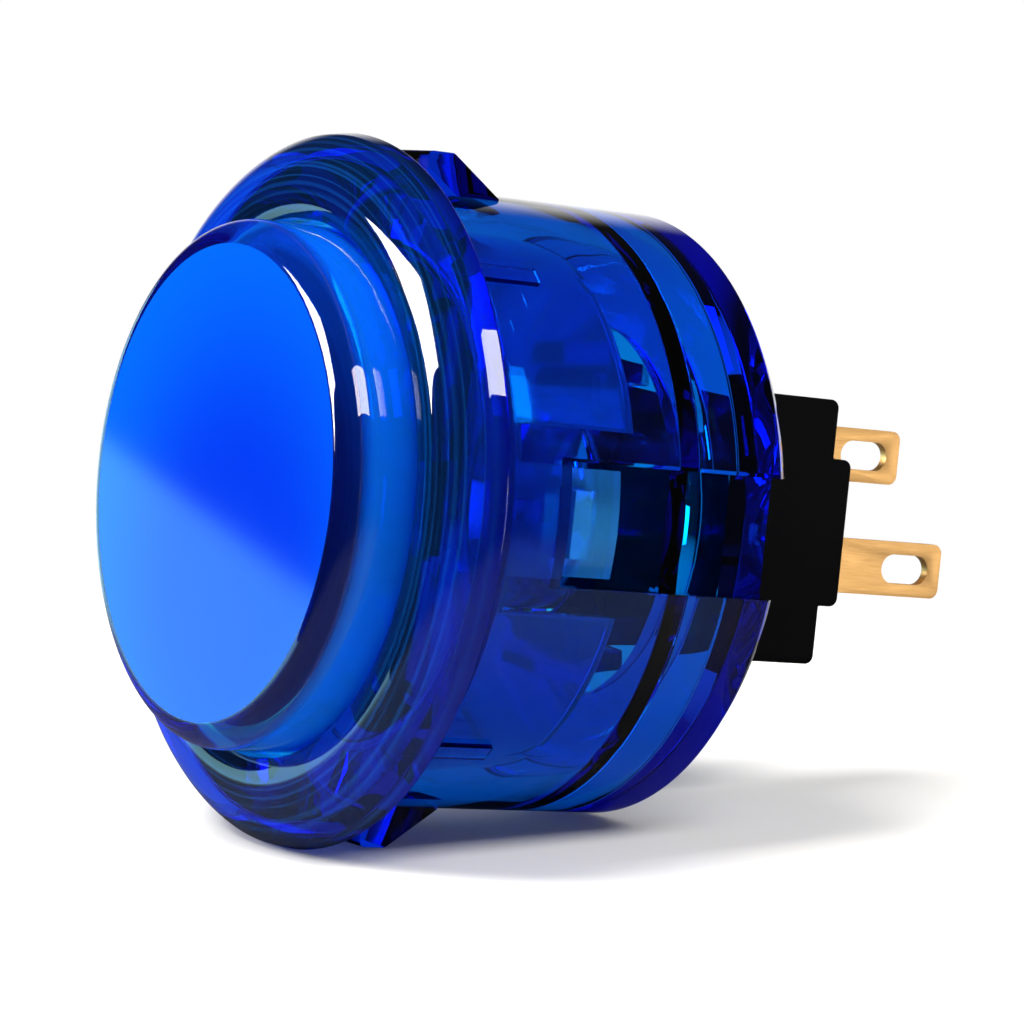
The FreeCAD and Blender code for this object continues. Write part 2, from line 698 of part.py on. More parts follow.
def tab_with_eye(body, name, low_x, low_y, low_z, high_z, shoulders):
    """Flat terminal with rounded tip, wire hole and, where asked, shoulders inside the case."""
    sketch = new_sketch(body, "YZ_Plane", name, lift=low_x)
    corners = [(low_y, low_z)]
    if shoulders:
        start = cavity_rear - cell["shoulder_length"]
        rise = cell["shoulder_rise"]
        corners += [(start, low_z), (start, low_z - rise), (cavity_rear, low_z - rise), (cavity_rear, low_z)]
    corners += [(tab_tip, low_z), (tab_tip, high_z)]
    if shoulders:
        corners += [(cavity_rear, high_z), (cavity_rear, high_z + rise), (start, high_z + rise), (start, high_z)]
    corners += [(low_y, high_z)]
    draw_outline(sketch, corners)
    sweep(body, "Pad", sketch, cell["tab_thickness"])
    tip = rib_along_x([(tab_tip, low_z), (tab_tip, high_z)])
    round_edges(body, edges_where(body.Tip.Shape, tip), cell["tab_round"])
    sketch = new_sketch(body, "YZ_Plane", "wire_hole", lift=low_x + cell["tab_thickness"])
    eye_high = tab_tip - cell["eye_margin"]
    draw_eye(sketch, eye_high - cell["eye_length"], eye_high, (low_z + high_z) / 2, cell["eye_width"])
    sweep(body, "Pocket", sketch, whole=True)


def build_common_terminal():
    """Terminal with a tongue bent across the case, which carries the contact blade."""
    body = new_body("common_terminal")
    tab_with_eye(body, "common_tab", case_inner, blade_rear, common_low, common_high, True)
    sketch = new_sketch(body, "XY_Plane", "tongue", lift=tongue_low)
    draw_box(sketch, case_inner, cell["tongue_reach"], blade_rear, blade_rear + cell["tab_thickness"])
    sweep(body, "Pad", sketch, cell["tongue_height"])
    return body


def build_output_terminal():
    """Terminal with a shelf bent along the rear wall, which carries the fixed contact."""
    body = new_body("output_terminal")
    shelf_front = cavity_rear - cell["tab_thickness"]
    tab_with_eye(body, "output_tab", cover_inner - cell["tab_thickness"], shelf_front,
                 output_low, output_high, False)
    shelf_low = -cell["contact_drop"] - cell["contact_radius"] - cell["tab_thickness"] / 2
    sketch = new_sketch(body, "XY_Plane", "contact_shelf", lift=shelf_low)
    draw_box(sketch, -cell["tongue_reach"], cover_inner, shelf_front, cavity_rear)
    sweep(body, "Pad", sketch, output_high - shelf_low)
    return body


def build_contact_blade():
    """Springy blade: a wide root on the tongue, a narrow waist, and an end that holds the contact."""
    body = new_body("contact_blade")
    wide = cell["blade_width"] / 2
    slim = cell["blade_waist"] / 2
    waist_high = tongue_low - cell["tab_thickness"]
    waist_low = -cell["contact_drop"] + cell["contact_radius"] + cell["blade_thickness"]
    end_low = -cell["contact_drop"] - cell["contact_radius"]
    sketch = new_sketch(body, "XZ_Plane", "blade_outline", lift=-blade_front)
    draw_outline(sketch, [
        (wide, common_high), (wide, waist_high), (slim, waist_high), (slim, waist_low),
        (wide, waist_low), (wide, end_low), (-wide, end_low), (-wide, waist_low),
        (-slim, waist_low), (-slim, waist_high), (-wide, waist_high), (-wide, common_high),
    ])
    sweep(body, "Pad", sketch, cell["blade_thickness"], back=True)
    sketch = new_sketch(body, "XZ_Plane", "rivet_hole", lift=-(blade_front - cell["blade_thickness"]))
    draw_circle(sketch, 0, -cell["contact_drop"], cell["rivet_radius"] + cell["fit_gap"])
    sweep(body, "Pocket", sketch, cell["blade_thickness"] * 3)
    return body


def build_moving_contact():
    """Silver rivet in the blade: a head in front, a shank through the hole and the contact behind."""
    body = new_body("moving_contact")
    head_radius = cell["rivet_radius"] + cell["rivet_head"]
    sketch = new_sketch(body, "XY_Plane", "moving_section", lift=-cell["contact_drop"])
    draw_outline(sketch, [
        (0, blade_front - cell["rivet_head"]),
        (head_radius, blade_front - cell["rivet_head"]),
        (head_radius, blade_front),
        (cell["rivet_radius"], blade_front),
        (cell["rivet_radius"], blade_rear),
        (cell["contact_radius"], blade_rear),
        (cell["contact_radius"], blade_rear + cell["moving_height"] / 2),
        (cell["contact_radius"] * 0.8, blade_rear + cell["moving_height"]),
        (0, blade_rear + cell["moving_height"]),
    ])
    sweep(body, "Revolution", sketch)
    return body


def build_fixed_contact():
    """Silver contact on the output terminal's shelf."""
    body = new_body("fixed_contact")
    seat = cavity_rear - cell["tab_thickness"]
    sketch = new_sketch(body, "XY_Plane", "fixed_section", lift=-cell["contact_drop"])
    draw_outline(sketch, [
        (0, shelf_contact),
        (cell["contact_radius"] * 0.8, shelf_contact),
        (cell["contact_radius"], shelf_contact + cell["contact_height"] / 2),
        (cell["contact_radius"], seat),
        (0, seat),
    ])
    sweep(body, "Revolution", sketch)
    return body


pieces = [
    build_housing(),
    build_plunger_cap(),
    build_plunger_core(),
    build_switch_case(),
    build_switch_cover(),
    build_switch_actuator(),
    build_return_spring(),
    build_contact_blade(),
    build_moving_contact(),
    build_fixed_contact(),
    build_common_terminal(),
    build_output_terminal(),
]
doc.recompute()

for thing in doc.Objects:
    if "Invalid" in thing.State or "Error" in thing.State:
        raise RuntimeError("%s did not build" % thing.Label)
for piece in pieces:
    shape = piece.Shape
    if shape.isNull() or not shape.isValid() or len(shape.Solids) != 1:
        raise RuntimeError("%s is not one valid solid" % piece.Label)
for piece in pieces:
    piece.Shape.exportStep("parts/%s.step" % piece.Label)
    print("%-18s %9.2f mm3" % (piece.Label, piece.Shape.Volume))
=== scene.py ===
# Arcade push button in clear blue plastic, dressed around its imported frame.
# Metres, Y along the button's axis with the pressed face at -Y, Z up, seat of the flange at y = 0.
import math
import bmesh
import bpy
import numpy as np
from mathutils import Matrix, Quaternion, Vector


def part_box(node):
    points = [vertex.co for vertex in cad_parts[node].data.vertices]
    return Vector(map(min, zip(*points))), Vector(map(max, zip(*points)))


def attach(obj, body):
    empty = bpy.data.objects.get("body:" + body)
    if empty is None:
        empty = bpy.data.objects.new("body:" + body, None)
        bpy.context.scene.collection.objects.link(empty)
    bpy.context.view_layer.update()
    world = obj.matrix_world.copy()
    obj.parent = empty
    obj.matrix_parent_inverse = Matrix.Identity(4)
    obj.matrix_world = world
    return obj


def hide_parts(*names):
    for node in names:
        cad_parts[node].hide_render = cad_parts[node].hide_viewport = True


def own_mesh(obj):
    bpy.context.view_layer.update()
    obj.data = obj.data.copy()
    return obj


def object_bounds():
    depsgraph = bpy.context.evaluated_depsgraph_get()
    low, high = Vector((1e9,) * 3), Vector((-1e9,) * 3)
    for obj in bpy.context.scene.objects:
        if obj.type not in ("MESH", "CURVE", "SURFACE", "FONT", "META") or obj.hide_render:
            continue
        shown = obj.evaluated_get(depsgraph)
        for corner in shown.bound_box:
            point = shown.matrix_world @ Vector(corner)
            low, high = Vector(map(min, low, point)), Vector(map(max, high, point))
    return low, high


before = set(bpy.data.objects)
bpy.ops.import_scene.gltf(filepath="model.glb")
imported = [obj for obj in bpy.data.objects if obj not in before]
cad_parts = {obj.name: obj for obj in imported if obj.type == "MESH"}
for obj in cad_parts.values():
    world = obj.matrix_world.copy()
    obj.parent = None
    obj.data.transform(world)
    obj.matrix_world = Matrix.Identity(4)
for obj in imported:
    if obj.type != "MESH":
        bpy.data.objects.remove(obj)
cadLow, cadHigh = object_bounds()
mm = 0.001


# Node helpers

def hexColour(text):
    # sRGB hex to linear red, green, blue, alpha.
    srgb = np.array([int(text[i:i + 2], 16) for i in (0, 2, 4)]) / 255
    linear = np.where(srgb <= 0.04045, srgb / 12.92, ((srgb + 0.055) / 1.055) ** 2.4)
    return (*linear.tolist(), 1.0)


def addNode(tree, kind, settings=None, **links):
    # One node: settings fill its properties or sockets, links join its inputs to other nodes' outputs.
    node = tree.nodes.new(kind)
    for key, value in (settings or {}).items():
        if isinstance(key, str) and hasattr(node, key):
            setattr(node, key, value)
        else:
            node.inputs[key].default_value = value
    for key, source in links.items():
        socket = node.inputs[int(key[3:])] if key.startswith("in_") else node.inputs[key.replace("_", " ")]
        tree.links.new(source, socket)
    return node


def newMaterial(name):
    # An empty node material, and its node tree.
    material = bpy.data.materials.new(name)
    material.use_nodes = True
    material.node_tree.nodes.clear()
    return material, material.node_tree


def closeMaterial(tree, surface, volume=None):
    # Joins the surface, and the volume where there is one, to the output.
    output = addNode(tree, "ShaderNodeOutputMaterial", Surface=surface)
    if volume is not None:
        tree.links.new(volume, output.inputs["Volume"])


# Mesh helpers

def meshObject(name, points, faces):
    # An object made from an array of points and a list of faces.
    mesh = bpy.data.meshes.new(name)
    mesh.from_pydata(points.tolist(), [], faces)
    piece = bpy.data.objects.new(name, mesh)
    bpy.context.scene.collection.objects.link(piece)
    return piece


def tidyMesh(piece, join=1e-7):
    # Merges doubled points and turns every face outwards.
    work = bmesh.new()
    work.from_mesh(piece.data)
    bmesh.ops.remove_doubles(work, verts=work.verts, dist=join)
    bmesh.ops.recalc_face_normals(work, faces=work.faces)
    work.to_mesh(piece.data)
    work.free()


def shadeByAngle(piece, degrees=32):
    # Smooth shading, except across edges sharper than the angle.
    piece.data.shade_smooth()
    piece.data.set_sharp_from_angle(angle=math.radians(degrees))


def roundedOutline(corners, steps=6):
    # Corners are (a, b, radius). Each corner with a radius becomes an arc tangent to its two sides.
    here = np.array([c[:2] for c in corners], float)
    radius = np.array([c[2] for c in corners], float)
    before = np.roll(here, 1, axis=0) - here
    after = np.roll(here, -1, axis=0) - here
    before /= np.linalg.norm(before, axis=1)[:, None]
    after /= np.linalg.norm(after, axis=1)[:, None]
    half = np.arccos(np.clip((before * after).sum(1), -1, 1)) / 2
    reach = radius / np.tan(half)
    points = []
    for k in range(len(here)):
        if radius[k] == 0:
            points.append(here[k][None])
            continue
        inwards = (before[k] + after[k]) / np.linalg.norm(before[k] + after[k])
        middle = here[k] + inwards * radius[k] / math.sin(half[k])
        first = here[k] + before[k] * reach[k] - middle
        last = here[k] + after[k] * reach[k] - middle
        turn = math.atan2(first[0] * last[1] - first[1] * last[0], first @ last)
        angle = np.linspace(0, turn, steps + 1)
        points.append(middle + np.stack([
            first[0] * np.cos(angle) - first[1] * np.sin(angle),
            first[0] * np.sin(angle) + first[1] * np.cos(angle),
        ], axis=1))
    return np.concatenate(points)


def turned(name, outline, count=256, closed=True):
    # Surface of revolution about Y: point (r, y) of the outline goes to (r cos t, y, r sin t).
    outline = np.asarray(outline, float) * mm
    angle = np.linspace(0, 2 * math.pi, count, endpoint=False)
    r, y = outline[:, 0], outline[:, 1]
    points = np.stack([
        np.outer(np.cos(angle), r), np.broadcast_to(y, (count, len(y))), np.outer(np.sin(angle), r)
    ], axis=2).reshape(-1, 3)
    sides = len(r) if closed else len(r) - 1
    column, row = np.meshgrid(np.arange(count), np.arange(sides), indexing="ij")
    nextColumn, nextRow = (column + 1) % count, (row + 1) % len(r)
    faces = np.stack([
        column * len(r) + row, nextColumn * len(r) + row,
        nextColumn * len(r) + nextRow, column * len(r) + nextRow,
    ], axis=-1).reshape(-1, 4)
    piece = meshObject(name, points, faces.tolist())
    tidyMesh(piece)
    return piece


def prism(name, outline, low, high, axis):
    # An outline carried straight along one axis from low to high, with both ends closed.
    outline = np.asarray(outline, float)
    count = len(outline)
    ends = []
    for level in (low, high):
        ends.append(np.insert(outline, axis, level, axis=1))
    points = np.concatenate(ends) * mm
    k = np.arange(count)
    sides = np.stack([k, (k + 1) % count, (k + 1) % count + count, k + count], axis=1)
    faces = sides.tolist() + [list(range(count)), list(range(count, 2 * count))]
    piece = meshObject(name, points, faces)
    tidyMesh(piece)
    return piece


def box(name, low, high):
    # A plain block used only to cut or to be joined on.
    corners = [(low[1], low[2]), (high[1], low[2]), (high[1], high[2]), (low[1], high[2])]
    return prism(name, corners, low[0], high[0], 0)


def combine(piece, others, how):
    # Cuts the others away from the piece or joins them on, then removes them.
    for other in others:
        step = piece.modifiers.new("combine", "BOOLEAN")
        step.operation = how
        step.solver = "EXACT"
        step.object = other
        applyModifiers(piece)
        bpy.data.objects.remove(other)


def applyModifiers(piece):
    # Writes what the modifiers make into the mesh, and takes them off.
    graph = bpy.context.evaluated_depsgraph_get()
    made = bpy.data.meshes.new_from_object(piece.evaluated_get(graph))
    piece.modifiers.clear()
    old = piece.data
    piece.data = made
    made.name = piece.name
    bpy.data.meshes.remove(old)


def mirrored(name, outline, low, high, axis, side):
    # Two prisms, the second turned over on the other side of the plane.
    outline = np.asarray(outline, float)
    flipped = outline.copy()
    flipped[:, side] *= -1
    return [prism(name, outline, low, high, axis), prism(name, flipped, low, high, axis)]


# Materials

# A scuff is width mm across and runs on for run radians. Noise from faint to deep gives its depth.
scuffSize = {"width": 0.2, "run": 5.556, "faint": 0.5, "deep": 0.75}
polycarbonateIndex = 1.585  # how strongly the plastic bends light


def clearPolycarbonate(name, look):
    # Clear tinted polycarbonate, injection moulded: polished and thick, so its depth sets its colour.
    material, tree = newMaterial(name)
    place = addNode(tree, "ShaderNodeTexCoord").outputs["Object"]
    flow = addNode(tree, "ShaderNodeTexNoise", {"Scale": look["waveScale"], "Detail": 2.0}, Vector=place)
    bump = addNode(
        tree, "ShaderNodeBump", {"Strength": look["waveStrength"], "Distance": look["waveHeight"] * mm},
        Height=flow.outputs["Fac"],
    )
    # Fine scuffs run round the axis on the part in front of the seat, where hands and panels rub it.
    part = addNode(tree, "ShaderNodeSeparateXYZ", None, in_0=place)
    turn = addNode(tree, "ShaderNodeMath", {"operation": "ARCTAN2"}, in_0=part.outputs["Z"], in_1=part.outputs["X"])
    flat = addNode(tree, "ShaderNodeVectorMath", {"operation": "MULTIPLY", 1: (1.0, 0.0, 1.0)}, in_0=place)
    off = addNode(tree, "ShaderNodeVectorMath", {"operation": "LENGTH"}, in_0=flat.outputs["Vector"])
    ring = addNode(tree, "ShaderNodeMath", {"operation": "DIVIDE", 1: scuffSize["width"] * mm},
                   in_0=off.outputs["Value"])
    along = addNode(tree, "ShaderNodeMath", {"operation": "DIVIDE", 1: scuffSize["run"]}, in_0=turn.outputs["Value"])
    track = addNode(tree, "ShaderNodeCombineXYZ", None, in_0=ring.outputs["Value"], in_1=along.outputs["Value"])
    lines = addNode(tree, "ShaderNodeTexNoise", {"Scale": 1.0, "Detail": 3.0}, Vector=track.outputs["Vector"])
    deep = addNode(tree, "ShaderNodeMapRange", {
        "From Min": scuffSize["faint"], "From Max": scuffSize["deep"], "To Max": look["scuffs"],
    }, Value=lines.outputs["Fac"])
    dull = addNode(tree, "ShaderNodeMath", {"operation": "ADD", 1: look["haze"]}, in_0=deep.outputs["Result"])
    zone = addNode(tree, "ShaderNodeMapRange", {"From Min": look["zone"][0] * mm, "From Max": look["zone"][1] * mm},
                   Value=part.outputs["Y"])
    share = addNode(tree, "ShaderNodeMath", {"operation": "MULTIPLY"}, in_0=dull.outputs["Value"],
                    in_1=zone.outputs["Result"])
    clear = addNode(tree, "ShaderNodeMath", {"operation": "SUBTRACT", 0: look["clear"]}, in_1=share.outputs["Value"])
    # The scuffs' colour comes in before they do, so that no white shows where they begin.
    tint = addNode(tree, "ShaderNodeMapRange", {"From Max": 0.12}, Value=zone.outputs["Result"])
    tone = addNode(tree, "ShaderNodeMix", {
        "data_type": "RGBA", 6: hexColour(look["surface"]), 7: hexColour(look["scuffed"]),
    }, in_0=tint.outputs["Result"])
    plastic = addNode(tree, "ShaderNodeBsdfPrincipled", {"Roughness": look["roughness"], "IOR": polycarbonateIndex},
                      Base_Color=tone.outputs[2], Transmission_Weight=clear.outputs["Value"],
                      Normal=bump.outputs["Normal"])
    passed = addNode(tree, "ShaderNodeBsdfTransparent", {"Color": hexColour(look["lampTint"])})
    path = addNode(tree, "ShaderNodeLightPath")
    mixed = addNode(tree, "ShaderNodeMixShader", None, in_0=path.outputs["Is Shadow Ray"],
                    in_1=plastic.outputs["BSDF"], in_2=passed.outputs["BSDF"])
    depth = addNode(tree, "ShaderNodeVolumeAbsorption", {
        "Color": (*look["passes"], 1.0), "Density": look["density"],
    })
    closeMaterial(tree, mixed.outputs["Shader"], depth.outputs["Volume"])
    return material


def satinFace(name, look):
    # The satin zone of the cap's face: fine spark-eroded texture over blue plastic. Its colour holds painted light:
    # paler away from an off-centre point, as if lit from inside.
    material, tree = newMaterial(name)
    place = addNode(tree, "ShaderNodeTexCoord").outputs["Object"]
    grain = addNode(tree, "ShaderNodeTexNoise", {"Scale": 1 / (look["grain"] * mm), "Detail": 3.0}, Vector=place)
    bump = addNode(tree, "ShaderNodeBump", {"Strength": look["grainStrength"], "Distance": look["relief"] * mm},
                   Height=grain.outputs["Fac"])
    # Painted light: the colour turns paler towards the cap's upper rim, standing in for more light coming through
    # from behind.
    shift = addNode(tree, "ShaderNodeVectorMath", {
        "operation": "SUBTRACT", 1: tuple(c * mm for c in look["paintedShadeCentre"]),
    }, in_0=place)
    flat = addNode(tree, "ShaderNodeVectorMath", {"operation": "MULTIPLY", 1: (1.0, 0.0, 1.0)},
                   in_0=shift.outputs["Vector"])
    off = addNode(tree, "ShaderNodeVectorMath", {"operation": "LENGTH"}, in_0=flat.outputs["Vector"])
    rim = addNode(tree, "ShaderNodeMapRange", {
        "interpolation_type": "SMOOTHSTEP", "From Min": look["paintedLightStart"] * mm, "From Max": look["paintedLightEnd"] * mm,
    }, Value=off.outputs["Value"])
    tone = addNode(tree, "ShaderNodeMix", {
        "data_type": "RGBA", 6: hexColour(look["middle"]), 7: hexColour(look["rim"]),
    }, in_0=rim.outputs["Result"])
    plastic = addNode(tree, "ShaderNodeBsdfPrincipled", {
        "Roughness": look["roughness"], "IOR": polycarbonateIndex, "Specular Tint": hexColour(look["sheen"]),
    }, Base_Color=tone.outputs[2], Normal=bump.outputs["Normal"])
    closeMaterial(tree, plastic.outputs["BSDF"])
    return material


def mouldedBlack(name, look):
    # Glass-filled thermoplastic, black, moulded in a spark-eroded tool: matt with a fine even grain.
    material, tree = newMaterial(name)
    place = addNode(tree, "ShaderNodeTexCoord").outputs["Object"]
    grain = addNode(tree, "ShaderNodeTexNoise", {"Scale": 1 / (look["grain"] * mm), "Detail": 4.0}, Vector=place)
    rough = addNode(tree, "ShaderNodeMapRange", {
        "To Min": look["roughness"] - look["vary"], "To Max": look["roughness"] + look["vary"],
    }, Value=grain.outputs["Fac"])
    bump = addNode(tree, "ShaderNodeBump", {"Strength": 0.35, "Distance": look["relief"] * mm},
                   Height=grain.outputs["Fac"])
    plastic = addNode(tree, "ShaderNodeBsdfPrincipled", {
        "Base Color": hexColour(look["colour"]), "IOR": 1.5, "Specular IOR Level": look["gloss"],
    }, Normal=bump.outputs["Normal"], Roughness=rough.outputs["Result"])
    closeMaterial(tree, plastic.outputs["BSDF"])
    return material


# Rolling lines are line mm apart. They are finer on real strip, and drawn this coarse so that they show.
rollSize = {"line": 0.06, "relief": 0.01, "smoother": 0.08, "rougher": 0.1}


def rolledMetal(name, look):
    # Strip metal, rolled then stamped: fine lines along the strip, softly blurred reflections.
    material, tree = newMaterial(name)
    place = addNode(tree, "ShaderNodeTexCoord").outputs["Object"]
    stretch = addNode(tree, "ShaderNodeMapping", {"Scale": look["lines"]}, Vector=place)
    lines = addNode(tree, "ShaderNodeTexNoise", {"Scale": 1 / (rollSize["line"] * mm), "Detail": 3.0},
                    Vector=stretch.outputs["Vector"])
    tone = addNode(tree, "ShaderNodeMix", {
        "data_type": "RGBA", 6: hexColour(look["colour"]), 7: hexColour(look["tarnish"]),
    }, in_0=lines.outputs["Fac"])
    rough = addNode(tree, "ShaderNodeMapRange", {
        "To Min": look["roughness"] - rollSize["smoother"], "To Max": look["roughness"] + rollSize["rougher"],
    }, Value=lines.outputs["Fac"])
    bump = addNode(tree, "ShaderNodeBump", {"Strength": 0.2, "Distance": rollSize["relief"] * mm},
                   Height=lines.outputs["Fac"])
    metal = addNode(tree, "ShaderNodeBsdfPrincipled", {"Metallic": 1.0}, Base_Color=tone.outputs[2],
                    Roughness=rough.outputs["Result"], Normal=bump.outputs["Normal"])
    closeMaterial(tree, metal.outputs["BSDF"])
    return material


# Absorption: passes is the share of each colour that the volume lets by, density is per metre.
# The zone, in mm along Y, is where the haze and scuffs come in; lampTint is what a lamp's light keeps.
housingLook = {
    "surface": "ffffff", "roughness": 0.0, "clear": 1.0,
    "scuffed": "1480ff", "haze": 0.02, "scuffs": 0.15, "zone": (0.3, -0.6),
    "lampTint": "767266", "passes": (0.0, 0.81, 0.972), "density": 2850.0,
    "waveScale": 140.0, "waveStrength": 0.12, "waveHeight": 0.4,
}
capLook = {
    "surface": "ffffff", "roughness": 0.0, "clear": 1.0,
    "scuffed": "0a84ff", "haze": 0.26, "scuffs": 0.08, "zone": (-4.9, -4.2),
    "lampTint": "767266", "passes": (0.0, 0.91, 0.985), "density": 2600.0,
    "waveScale": 140.0, "waveStrength": 0.05, "waveHeight": 0.3,
}
coreLook = {
    "surface": "3cb0ff", "roughness": 0.06, "clear": 0.78,
    "scuffed": "3cb0ff", "haze": 0.0, "scuffs": 0.0, "zone": (0.3, -0.6),
    "lampTint": "767266", "passes": (0.0, 0.8, 0.98), "density": 1200.0,
    "waveScale": 140.0, "waveStrength": 0.08, "waveHeight": 0.3,
}
# The face's colour goes from middle to rim as painted light: darkest at the off-centre point given, palest towards
# the upper rim.
faceLook = {
    "middle": "0024a2", "rim": "0046b0", "paintedShadeCentre": (2.5, 0.0, -4.0), "paintedLightStart": 4.5, "paintedLightEnd": 17.0,
    "grain": 0.12, "grainStrength": 0.12, "relief": 0.01, "roughness": 0.075, "sheen": "00ecff",
}
blackLook = {"colour": "030304", "grain": 0.15, "relief": 0.02, "roughness": 0.55, "vary": 0.08, "gloss": 0.04}
brassLook = {"colour": "efbe7c", "tarnish": "dda964", "roughness": 0.45, "lines": (1.0, 0.06, 1.0)}
steelLook = {"colour": "b9bcc0", "tarnish": "8d9196", "roughness": 0.3, "lines": (1.0, 1.0, 1.0)}
copperLook = {"colour": "d79b6e", "tarnish": "b97b50", "roughness": 0.3, "lines": (0.1, 1.0, 1.0)}
silverLook = {"colour": "e6e4de", "tarnish": "c9c7c0", "roughness": 0.25, "lines": (1.0, 1.0, 1.0)}
acetalLook = {"colour": "d9d9d4", "grain": 0.2, "relief": 0.02, "roughness": 0.4, "vary": 0.08, "gloss": 0.5}

housingPlastic = clearPolycarbonate("clearBluePolycarbonate", housingLook)
capPlastic = clearPolycarbonate("clearBlueCapPolycarbonate", capLook)
corePlastic = clearPolycarbonate("paleBluePolycarbonate", coreLook)
facePlastic = satinFace("satinBluePolycarbonate", faceLook)
blackPlastic = mouldedBlack("blackMouldedPlastic", blackLook)
acetalPlastic = mouldedBlack("naturalAcetal", acetalLook)
brassMetal = rolledMetal("stampedBrass", brassLook)
steelMetal = rolledMetal("springSteelWire", steelLook)
copperMetal = rolledMetal("rolledCopperAlloy", copperLook)
silverMetal = rolledMetal("contactSilver", silverLook)
print("materials made")


# Housing: flange, barrel, floor, slots, wedges, ribs and the switch's arms

housingSize = {
    "flangeRadius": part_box("housing")[1].x / mm, "land": 0.8, "landDraft": 0.17, "beadHeight": 2.5,
    "crestRadius": 14.0, "bezelRadius": 12.75, "bezelDepth": 1.6, "barrelRadius": 14.85, "boreRadius": 13.35,
    "barrelEnd": 17.1, "rearLead": 0.7, "ringFront": 14.7, "ringInner": 9.566,
    "edgeRound": 0.12, "innerRound": 0.3, "leadRound": 0.2, "seatRound": 0.15, "lipRound": 0.25,
    "floorFront": 11.3, "floorRear": 12.3, "floorHole": 5.2, "floorFlat": 12.9,
    "slotHalf": 2.85, "slotFront": 4.7, "wedgeHalf": 3.2, "wedgeStart": 2.5, "wedgeCrest": 1.4, "wedgeRamp": 2.7,
    "wedgeTop": 16.5, "ribAngle": 47.0, "ribHalf": 0.45, "ribEnd": 4.6, "ribTop": 15.1,
    "armLow": 6.8, "armHigh": 7.8, "armHalf": 4.0, "armEnd": 17.0,
    "barbLow": 6.4, "barbFront": 14.5, "barbEnd": 16.0, "barbHalf": 3.3,
}


def makeHousing(size):
    # A section turned about Y, with the slots cut out and wedges, arms, barbs and ribs joined on.
    span = size["flangeRadius"] - size["landDraft"] - size["crestRadius"]
    drop = size["beadHeight"] - size["land"]
    beadRadius = (span ** 2 + drop ** 2) / (2 * drop)
    beadMiddle = beadRadius - size["beadHeight"]
    # The bead is one arc of radius (span^2 + drop^2) / (2 drop), from the rim over the crest to the bore.
    first = math.asin(span / beadRadius)
    last = -math.asin((size["crestRadius"] - size["bezelRadius"] - size["lipRound"] * 0.5) / beadRadius)
    angle = np.linspace(first, last, 40)
    bead = np.stack([
        size["crestRadius"] + beadRadius * np.sin(angle), beadMiddle - beadRadius * np.cos(angle)
    ], axis=1)
    lipY = bead[-1, 1]
    taperEnd = size["bezelDepth"] + size["boreRadius"] - size["bezelRadius"]
    edge, inner = size["edgeRound"], size["innerRound"]
    rest = roundedOutline([
        (size["bezelRadius"], lipY + size["lipRound"] * 0.3, 0),
        (size["bezelRadius"], size["bezelDepth"], inner),
        (size["boreRadius"], taperEnd, inner),
        (size["boreRadius"], size["floorFront"], edge),
        (size["floorHole"], size["floorFront"], edge),
        (size["floorHole"], size["floorRear"], edge),
        (size["boreRadius"], size["floorRear"], edge),
        (size["boreRadius"], size["ringFront"], inner),
        (size["ringInner"], size["ringFront"], edge),
        (size["ringInner"], size["barrelEnd"], edge),
        (size["barrelRadius"] - size["rearLead"], size["barrelEnd"], edge),
        (size["barrelRadius"], size["barrelEnd"] - size["rearLead"], size["leadRound"]),
        (size["barrelRadius"], 0, size["seatRound"]),
        (size["flangeRadius"], 0, edge),
        (size["flangeRadius"] - size["landDraft"] * 0.99, -size["land"] * 0.99, 0),
    ])
    piece = turned("housing_shell", np.concatenate([bead, rest]))
    far = size["flangeRadius"] + 2
    slots = [
        box("slot", (side * size["floorFlat"] if side > 0 else -far, size["slotFront"], -size["slotHalf"]),
            (far if side > 0 else side * size["floorFlat"], size["barrelEnd"] + 2, size["slotHalf"]))
        for side in (1, -1)
    ]
    combine(piece, slots, "DIFFERENCE")
    root = (size["barrelRadius"] + size["boreRadius"]) / 2
    crestEnd = size["wedgeStart"] + size["wedgeCrest"]
    wedge = roundedOutline([
        (size["wedgeStart"], root, 0),
        (size["wedgeStart"], size["wedgeTop"], 0.25),
        (crestEnd, size["wedgeTop"], 0.3),
        (crestEnd + size["wedgeRamp"], size["barrelRadius"] - 0.25, 0),
        (crestEnd + size["wedgeRamp"], root, 0),
    ], steps=4)
    wedges = mirrored("wedge", wedge, -size["wedgeHalf"], size["wedgeHalf"], 0, 1)
    armRoot = (size["floorFront"] + size["floorRear"]) / 2
    arm = [(armRoot, size["armLow"]), (size["armEnd"], size["armLow"]),
           (size["armEnd"], size["armHigh"]), (armRoot, size["armHigh"])]
    arms = mirrored("arm", arm, -size["armHalf"], size["armHalf"], 0, 1)
    middle = (size["armLow"] + size["armHigh"]) / 2
    barb = [(size["barbFront"], middle), (size["barbFront"], size["barbLow"]),
            (size["barbEnd"], size["armLow"]), (size["barbEnd"], middle)]
    barbs = mirrored("barb", barb, -size["barbHalf"], size["barbHalf"], 0, 1)
    ribs = []
    for turn in (size["ribAngle"], -size["ribAngle"], 180 - size["ribAngle"], 180 + size["ribAngle"]):
        rib = box("rib", (root, -0.3, -size["ribHalf"]), (size["ribTop"], size["ribEnd"], size["ribHalf"]))
        rib.data.transform(Matrix.Rotation(math.radians(turn), 4, "Y"))
        ribs.append(rib)
    combine(piece, wedges + arms + barbs + ribs, "UNION")
    tidyMesh(piece)
    shadeByAngle(piece)
    piece.data.materials.clear()
    piece.data.materials.append(housingPlastic)
    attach(piece, "body")
    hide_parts("housing")
    return piece


housing = makeHousing(housingSize)
print("housing made:", len(housing.data.polygons), "faces")


# Plunger: a clear cap with a satin face over the paler core with its skirt, legs, stem and post

